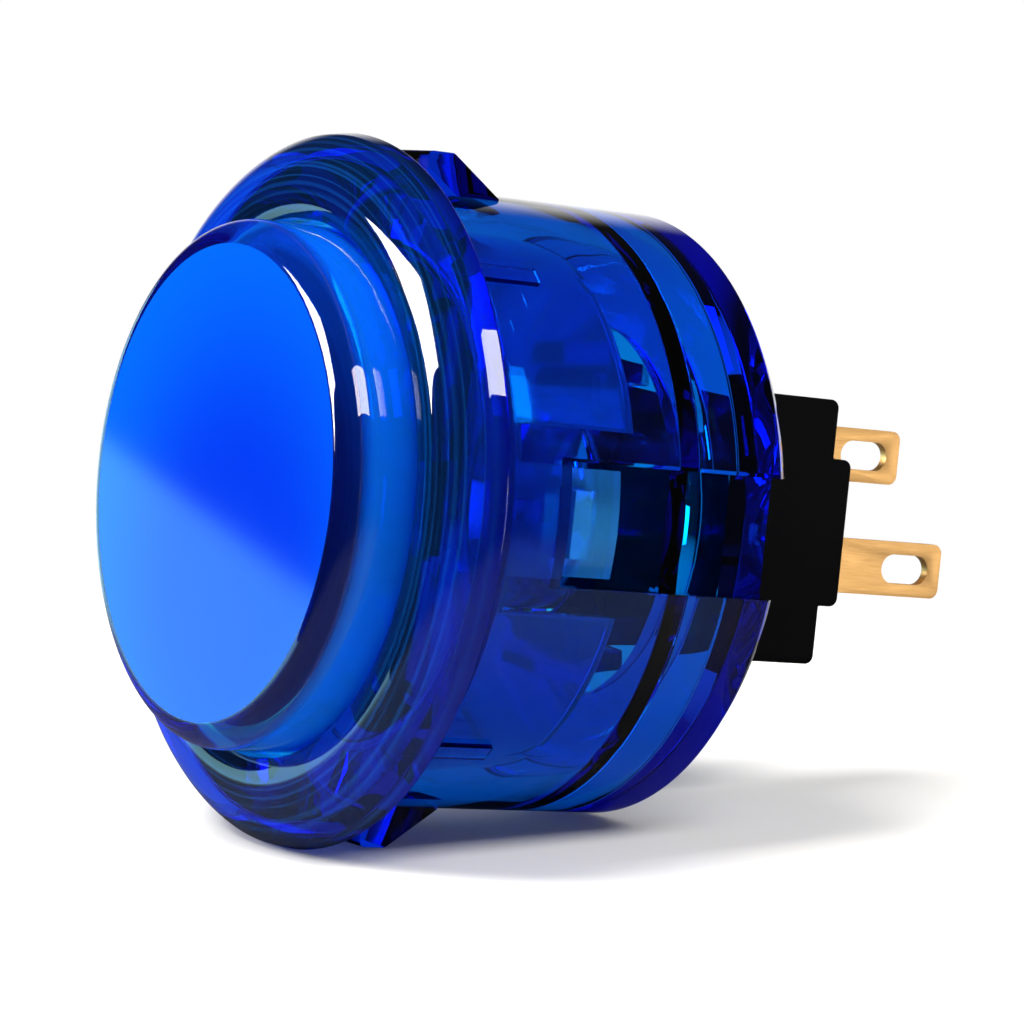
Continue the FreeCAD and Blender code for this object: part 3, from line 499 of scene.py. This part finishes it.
plungerSize = {
    "radius": 12.45, "front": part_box("plunger_cap")[0].y / mm, "faceRound": 1.25, "capInner": 11.35, "capFace": 1.5,
    "capEnd": 1.5, "coreRadius": 11.3, "discThickness": 1.0, "skirtInner": 11.35, "skirtFront": 1.55,
    "skirtWall": 1.1, "skirtEnd": 9.4, "stemRadius": 4.8, "stemInner": 3.9, "stemEnd": 13.6, "postRadius": 1.6,
    "postEnd": 12.4, "webHalf": 0.45, "webEnd": 9.6, "notchHalf": 4.1, "notchFront": 3.0, "legHalf": 2.5,
    "legEnd": 9.0, "hookFront": 5.2, "hookReach": 14.4, "hookLength": 1.9, "hookHalf": 1.55,
    "airGap": 0.03,
}


def makeCap(size):
    # An open section turned about Y, closed where it meets the axis. Its flat front faces are satin.
    inside = size["front"] + size["capFace"]
    section = roundedOutline([
        (0, size["front"], 0),
        (size["radius"] - size["faceRound"], size["front"], 0),
        (size["radius"], size["front"], size["faceRound"] * 0.999),
        (size["radius"], size["capEnd"], 0.15),
        (size["capInner"], size["capEnd"], 0.1),
        (size["capInner"], inside, 0.3),
        (0, inside, 0),
    ], steps=16)
    piece = turned("cap_shell", section, closed=False)
    mesh = piece.data
    mesh.materials.append(capPlastic)
    mesh.materials.append(facePlastic)
    centres = np.zeros(len(mesh.polygons) * 3)
    mesh.polygons.foreach_get("center", centres)
    flat = centres.reshape(-1, 3)[:, 1] < (size["front"] + 0.001) * mm
    mesh.polygons.foreach_set("material_index", flat.astype(np.int32))
    shadeByAngle(piece)
    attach(piece, "plunger")
    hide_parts("plunger_cap")
    return piece


def makeCore(size):
    # Disc, skirt, stem and post in one turned section, then webs joined on, legs cut free and hooks joined on.
    front = size["front"] + size["capFace"] + size["airGap"]
    discRear = front + size["discThickness"]
    section = roundedOutline([
        (0, front, 0),
        (size["coreRadius"] - size["airGap"], front, 0.25),
        (size["coreRadius"] - size["airGap"], size["skirtFront"], 0.1),
        (size["radius"], size["skirtFront"], 0.12),
        (size["radius"], size["skirtEnd"], 0.15),
        (size["skirtInner"], size["skirtEnd"], 0.15),
        (size["skirtInner"], size["skirtFront"] + size["skirtWall"], 0.3),
        (size["coreRadius"] - size["skirtWall"], size["skirtFront"], 0.3),
        (size["coreRadius"] - size["skirtWall"], discRear, 0.3),
        (size["stemRadius"], discRear, 0.3),
        (size["stemRadius"], size["stemEnd"], 0.2),
        (size["stemInner"], size["stemEnd"], 0.2),
        (size["stemInner"], discRear, 0.2),
        (size["postRadius"], discRear, 0.2),
        (size["postRadius"], size["postEnd"], 0.15),
        (0, size["postEnd"], 0),
    ])
    piece = turned("core_shell", section, closed=False)
    webFront = front + size["discThickness"] / 2
    middle = (size["stemRadius"] + size["stemInner"]) / 2
    webs = [
        box("web", (-middle, webFront, -size["webHalf"]), (middle, size["webEnd"], size["webHalf"])),
        box("web", (-size["webHalf"], webFront, -middle), (size["webHalf"], size["webEnd"], middle)),
    ]
    combine(piece, webs, "UNION")
    past = size["skirtEnd"] + 1
    notch = np.array([
        (size["notchFront"], size["notchHalf"]), (past, size["notchHalf"]), (past, -size["notchHalf"]),
        (size["notchFront"], -size["notchHalf"]), (size["notchFront"], -size["legHalf"]),
        (size["legEnd"], -size["legHalf"]), (size["legEnd"], size["legHalf"]), (size["notchFront"], size["legHalf"]),
    ])
    inner = size["skirtInner"] - size["skirtWall"]
    outer = size["radius"] + 1
    cuts = [prism("notch", notch, inner, outer, 0), prism("notch", notch, -outer, -inner, 0)]
    combine(piece, cuts, "DIFFERENCE")
    base = size["radius"] - size["skirtWall"] / 2
    hook = np.array([
        (base, size["hookFront"]), (size["hookReach"], size["hookFront"]),
        (size["hookReach"], size["hookFront"] + size["hookLength"] / 2),
        (size["radius"], size["hookFront"] + size["hookLength"]), (base, size["hookFront"] + size["hookLength"]),
    ])
    hooks = mirrored("hook", hook, -size["hookHalf"], size["hookHalf"], 2, 0)
    combine(piece, hooks, "UNION")
    tidyMesh(piece)
    shadeByAngle(piece)
    piece.data.materials.clear()
    piece.data.materials.append(corePlastic)
    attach(piece, "plunger")
    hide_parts("plunger_core")
    return piece


cap = makeCap(plungerSize)
core = makeCore(plungerSize)
print("plunger made:", len(cap.data.polygons) + len(core.data.polygons), "faces")


# Microswitch and terminals: copies of the solids with welded points and softened edges

edgeWidths = {"switch_case": 0.12, "switch_cover": 0.12}
nodeFinish = {
    "switch_case": ("body", blackPlastic, "switch_plastic"),
    "switch_cover": ("body", blackPlastic, "switch_plastic"),
    "switch_actuator": ("actuator", acetalPlastic, "actuator_plastic"),
    "contact_blade": ("blade", copperMetal, "blade_metal"),
    "moving_contact": ("blade", silverMetal, "contact_metal"),
    "fixed_contact": ("body", silverMetal, "contact_metal"),
}


def finishPiece(piece, width, degrees):
    # Edges sharper than the angle get a narrow rounded bevel.
    bevel = piece.modifiers.new("edges", "BEVEL")
    bevel.width = width * mm
    bevel.segments = 3
    bevel.limit_method = "ANGLE"
    bevel.angle_limit = math.radians(degrees)
    applyModifiers(piece)
    shadeByAngle(piece)


def softenedCopy(node, width, body, material):
    # The same solid with its flat faces whole and its edges rounded by a narrow bevel.
    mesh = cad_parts[node].data.copy()
    piece = bpy.data.objects.new(node + "_dressed", mesh)
    bpy.context.scene.collection.objects.link(piece)
    work = bmesh.new()
    work.from_mesh(mesh)
    bmesh.ops.remove_doubles(work, verts=work.verts, dist=1e-6)
    bmesh.ops.dissolve_limit(work, angle_limit=math.radians(1), verts=work.verts, edges=work.edges)
    work.to_mesh(mesh)
    work.free()
    finishPiece(piece, width, 40)
    piece.data.materials.clear()
    piece.data.materials.append(material)
    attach(piece, body)
    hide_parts(node)
    return piece


terminalSize = {
    "thick": 0.5, "tip": 36.3, "round": 0.5, "eyeLength": 3.0, "eyeHalf": 0.75, "eyeMargin": 0.8, "edge": 0.05,
    "common_terminal": {"side": -2.6, "front": 24.6, "low": 2.5, "high": 5.3,
                        "bend": ((-2.6, 24.6, 3.9), (1.4, 25.1, 5.3))},
    "output_terminal": {"side": 1.8, "front": 26.5, "low": -3.05, "high": -0.25,
                        "bend": ((-1.4, 26.5, -4.15), (2.3, 27.0, -0.25))},
}


def makeTerminal(node, size):
    # A flat tab with a rounded tip and a wire hole, and the bent end that stays inside the switch.
    own = size[node]
    tab = roundedOutline([
        (own["front"], own["low"], 0), (size["tip"], own["low"], size["round"]),
        (size["tip"], own["high"], size["round"]), (own["front"], own["high"], 0),
    ], steps=12)
    piece = prism(node + "_dressed", tab, own["side"], own["side"] + size["thick"], 0)
    eyeHigh = size["tip"] - size["eyeMargin"]
    eyeLow = eyeHigh - size["eyeLength"]
    middle = (own["low"] + own["high"]) / 2
    eye = roundedOutline([
        (a, middle + side * size["eyeHalf"], size["eyeHalf"] * 0.999)
        for a, side in ((eyeLow, -1), (eyeHigh, -1), (eyeHigh, 1), (eyeLow, 1))
    ], steps=12)
    combine(piece, [prism("eye", eye, own["side"] - 1, own["side"] + 1, 0)], "DIFFERENCE")
    combine(piece, [box("bend", *own["bend"])], "UNION")
    finishPiece(piece, size["edge"], 50)
    piece.data.materials.clear()
    piece.data.materials.append(brassMetal)
    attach(piece, "body")
    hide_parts(node)
    return piece


# Return spring: round wire wound round the actuator's rod. On the real button it shortens as the plunger is pressed;
# here it is drawn at one length.
springSize = {"wire": 0.2, "coil": 1.55, "front": 17.85, "rear": 21.75, "turns": 4.5, "shelf": 22.0, "keep": 0.586}


def makeSpring(size):
    # The wire's middle is a helix about Y: (r cos t, y, -r sin t), with y growing evenly from front to rear.
    turn = np.linspace(0, 2 * math.pi * size["turns"], 217)
    around = np.linspace(0, 2 * math.pi, 16, endpoint=False)
    middle = np.linspace(size["front"], size["rear"], len(turn))
    off = size["coil"] + size["wire"] * np.cos(around)
    points = np.stack([
        np.outer(np.cos(turn), off), middle[:, None] + size["wire"] * np.sin(around), -np.outer(np.sin(turn), off)
    ], axis=2).reshape(-1, 3) * mm
    count = len(around)
    row, column = np.meshgrid(np.arange(len(turn) - 1), np.arange(count), indexing="ij")
    following = (column + 1) % count
    faces = np.stack([row * count + column, row * count + following,
                      (row + 1) * count + following, (row + 1) * count + column], axis=-1).reshape(-1, 4).tolist()
    faces += [list(range(count)), list(range(len(points) - count, len(points)))]
    piece = meshObject("return_spring_dressed", points, faces)
    tidyMesh(piece)
    shadeByAngle(piece)
    piece.data.materials.append(steelMetal)
    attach(piece, "body")
    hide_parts("return_spring")
    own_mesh(piece)
    return piece


makeSpring(springSize)
for node in ("common_terminal", "output_terminal"):
    makeTerminal(node, terminalSize)
for node, (body, material, slot) in nodeFinish.items():
    if node in edgeWidths:
        softenedCopy(node, edgeWidths[node], body, material)
        continue
    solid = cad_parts[node]
    solid.data.materials.clear()
    solid.data.materials.append(material)
print("switch and terminals dressed")


# Stage: floor, world, lamps and camera

floorSize = {"half": 125.0, "tilt": 7.2, "fadeStart": 35.0, "fadeEnd": 120.0, "colour": "f2f2f2",
             "shown": "e2e0dc", "mirrored": "4c4c4c", "lift": 0.02, "through": 0.55}


def makeFloor(size):
    # The floor touches the flange's rim and the barrel's rear edge, as the button leans on both.
    half = size["half"] * mm
    corners = np.array([(-half, -half, 0), (half, -half, 0), (half, half, 0), (-half, half, 0)])
    floor = meshObject("floor", corners, [[0, 1, 2, 3]])
    lean = Matrix.Rotation(math.radians(size["tilt"]), 4, "X")
    floor.matrix_world = Matrix.Translation((0, 0, cadLow.z)) @ lean
    material, tree = newMaterial("paperFloor")
    place = addNode(tree, "ShaderNodeTexCoord").outputs["Object"]
    away = addNode(tree, "ShaderNodeVectorMath", {"operation": "LENGTH"}, in_0=place)
    fade = addNode(tree, "ShaderNodeMapRange", {
        "interpolation_type": "SMOOTHSTEP", "From Min": size["fadeStart"] * mm, "From Max": size["fadeEnd"] * mm,
    }, Value=away.outputs["Value"])
    path = addNode(tree, "ShaderNodeLightPath")
    # The camera sees the paper just white, so its shadow shows; polished plastic mirrors it dim.
    dim = addNode(tree, "ShaderNodeMix", {
        "data_type": "RGBA", 6: hexColour(size["colour"]), 7: hexColour(size["mirrored"]),
    }, in_0=path.outputs["Is Glossy Ray"])
    tone = addNode(tree, "ShaderNodeMix", {"data_type": "RGBA", 7: hexColour(size["shown"])},
                   in_0=path.outputs["Is Camera Ray"], in_6=dim.outputs[2])
    paper = addNode(tree, "ShaderNodeBsdfDiffuse", None, Color=tone.outputs[2])
    through = addNode(tree, "ShaderNodeMath", {"operation": "MULTIPLY", 1: size["through"]},
                      in_0=path.outputs["Is Transmission Ray"])
    seen = addNode(tree, "ShaderNodeMath", {"operation": "MULTIPLY_ADD", 1: size["lift"]},
                   in_0=path.outputs["Is Camera Ray"], in_2=through.outputs["Value"])
    glow = addNode(tree, "ShaderNodeEmission", {"Color": (1, 1, 1, 1)}, Strength=seen.outputs["Value"])
    lit = addNode(tree, "ShaderNodeAddShader", None, in_0=paper.outputs["BSDF"], in_1=glow.outputs["Emission"])
    gone = addNode(tree, "ShaderNodeBsdfTransparent")
    mixed = addNode(tree, "ShaderNodeMixShader", None, in_0=fade.outputs["Result"],
                    in_1=lit.outputs["Shader"], in_2=gone.outputs["BSDF"])
    closeMaterial(tree, mixed.outputs["Shader"])
    floor.data.materials.append(material)
    return floor


worldLook = {
    "backdropAzimuth": -123.0, "backdropElevation": 0.0, "glossInner": 8.0, "glossOuter": 32.0, "glossDark": 0.02,
    "throughInner": 18.0, "throughOuter": 62.0, "throughDark": 0.03, "ambient": 0.2,
}


def makeWorld(look):
    # White for the camera and behind clear plastic; a reflection finds white only behind the button,
    # because the rest of the studio is dark.
    world = bpy.data.worlds.new("studio")
    bpy.context.scene.world = world
    world.use_nodes = True
    tree = world.node_tree
    tree.nodes.clear()
    path = addNode(tree, "ShaderNodeLightPath")
    toward = addNode(tree, "ShaderNodeTexCoord").outputs["Generated"]
    azimuth, elevation = math.radians(look["backdropAzimuth"]), math.radians(look["backdropElevation"])
    middle = (math.sin(azimuth) * math.cos(elevation), -math.cos(azimuth) * math.cos(elevation), math.sin(elevation))
    along = addNode(tree, "ShaderNodeVectorMath", {"operation": "DOT_PRODUCT", 1: middle}, in_0=toward)
    def spread(inner, outer, low, high):
        return addNode(tree, "ShaderNodeMapRange", {
            "interpolation_type": "SMOOTHSTEP", "From Min": math.cos(math.radians(outer)),
            "From Max": math.cos(math.radians(inner)), "To Min": low, "To Max": high,
        }, Value=along.outputs["Value"]).outputs["Result"]
    glossy = spread(look["glossInner"], look["glossOuter"], look["glossDark"], 1.0)
    through = spread(look["throughInner"], look["throughOuter"], look["throughDark"], 1.0)
    shown = addNode(tree, "ShaderNodeBackground", {"Color": (1, 1, 1, 1), "Strength": 1.0})
    mirrored = addNode(tree, "ShaderNodeBackground", {"Color": (1, 1, 1, 1)}, Strength=glossy)
    passed = addNode(tree, "ShaderNodeBackground", {"Color": (1, 1, 1, 1)}, Strength=through)
    ambient = addNode(tree, "ShaderNodeBackground", {"Color": (1, 1, 1, 1), "Strength": look["ambient"]})
    first = addNode(tree, "ShaderNodeMixShader", None, in_0=path.outputs["Is Glossy Ray"],
                    in_1=ambient.outputs["Background"], in_2=mirrored.outputs["Background"])
    second = addNode(tree, "ShaderNodeMixShader", None, in_0=path.outputs["Is Transmission Ray"],
                     in_1=first.outputs["Shader"], in_2=passed.outputs["Background"])
    outer = addNode(tree, "ShaderNodeMixShader", None, in_0=path.outputs["Is Camera Ray"],
                    in_1=second.outputs["Shader"], in_2=shown.outputs["Background"])
    addNode(tree, "ShaderNodeOutputWorld", Surface=outer.outputs["Shader"])


# Each lamp: where it stands, its width and height in mm, and its power in watts.
lampLook = {
    "keySoftbox": {"azimuth": -36.0, "elevation": 13.5, "away": 270.0, "size": (150.0, 66.0), "roll": 30.0,
                   "watts": 0.7, "colour": "ffffff", "mirrored": True},
    "sideSoftbox": {"azimuth": 92.0, "elevation": 44.0, "away": 260.0, "size": (210.0, 90.0), "roll": 0.0,
                    "watts": 0.72, "colour": "ffffff", "mirrored": True},
    "overheadSoftbox": {"azimuth": -8.0, "elevation": 54.0, "away": 320.0, "size": (200.0, 200.0), "roll": 0.0,
                        "watts": 2.3, "colour": "ffffff", "mirrored": False},
    "lowCard": {"azimuth": -66.0, "elevation": -15.0, "away": 103.7, "size": (130.0, 50.0), "roll": -32.0,
                "watts": 0.045, "colour": "a8f0ff", "mirrored": True},
    "rearCard": {"azimuth": 140.0, "elevation": -1.0, "away": 275.0, "size": (60.0, 80.0), "roll": 0.0,
                 "watts": 0.11, "colour": "ffffff", "mirrored": True},
}


def placeLamp(name, look):
    # A rectangular softbox that faces the button. Azimuth 0 is in front of the face, 90 at +X.
    data = bpy.data.lights.new(name, "AREA")
    data.shape = "RECTANGLE"
    data.size, data.size_y = look["size"][0] * mm, look["size"][1] * mm
    data.energy = look["watts"]
    data.color = hexColour(look["colour"])[:3]
    lamp = bpy.data.objects.new(name, data)
    bpy.context.scene.collection.objects.link(lamp)
    azimuth, elevation = math.radians(look["azimuth"]), math.radians(look["elevation"])
    back = Vector((math.sin(azimuth) * math.cos(elevation), -math.cos(azimuth) * math.cos(elevation),
                   math.sin(elevation)))
    lamp.location = back * look["away"] * mm
    lamp.rotation_mode = "QUATERNION"
    lamp.rotation_quaternion = back.to_track_quat("Z", "Y") @ Quaternion((0, 0, 1), math.radians(look["roll"]))
    lamp.visible_camera = False
    lamp.visible_glossy = look["mirrored"]
    return lamp


cameraLook = {"azimuth": 57.05, "elevation": 2.288, "roll": 5.807, "aim": (4.439, 8.326, -0.104), "away": 195.0,
              "lens": 144.1}


def makeCamera(look):
    # Azimuth 0 looks along +Y; the roll turns the picture about the line of sight.
    azimuth, elevation = math.radians(look["azimuth"]), math.radians(look["elevation"])
    back = Vector((math.sin(azimuth) * math.cos(elevation), -math.cos(azimuth) * math.cos(elevation),
                   math.sin(elevation)))
    data = bpy.data.cameras.new("photoCamera")
    data.lens = look["lens"]
    data.sensor_width = 36.0
    data.clip_start, data.clip_end = 0.01, 5.0
    camera = bpy.data.objects.new("photoCamera", data)
    bpy.context.scene.collection.objects.link(camera)
    turn = back.to_track_quat("Z", "Y").to_matrix() @ Matrix.Rotation(math.radians(look["roll"]), 3, "Z")
    camera.matrix_world = Matrix.Translation(Vector(look["aim"]) * mm + back * look["away"] * mm) @ turn.to_4x4()
    bpy.context.scene.camera = camera
    return camera


makeFloor(floorSize)
makeWorld(worldLook)
for name, look in lampLook.items():
    placeLamp(name, look)
makeCamera(cameraLook)
bpy.context.scene.view_settings.view_transform = "Standard"
print("stage ready")
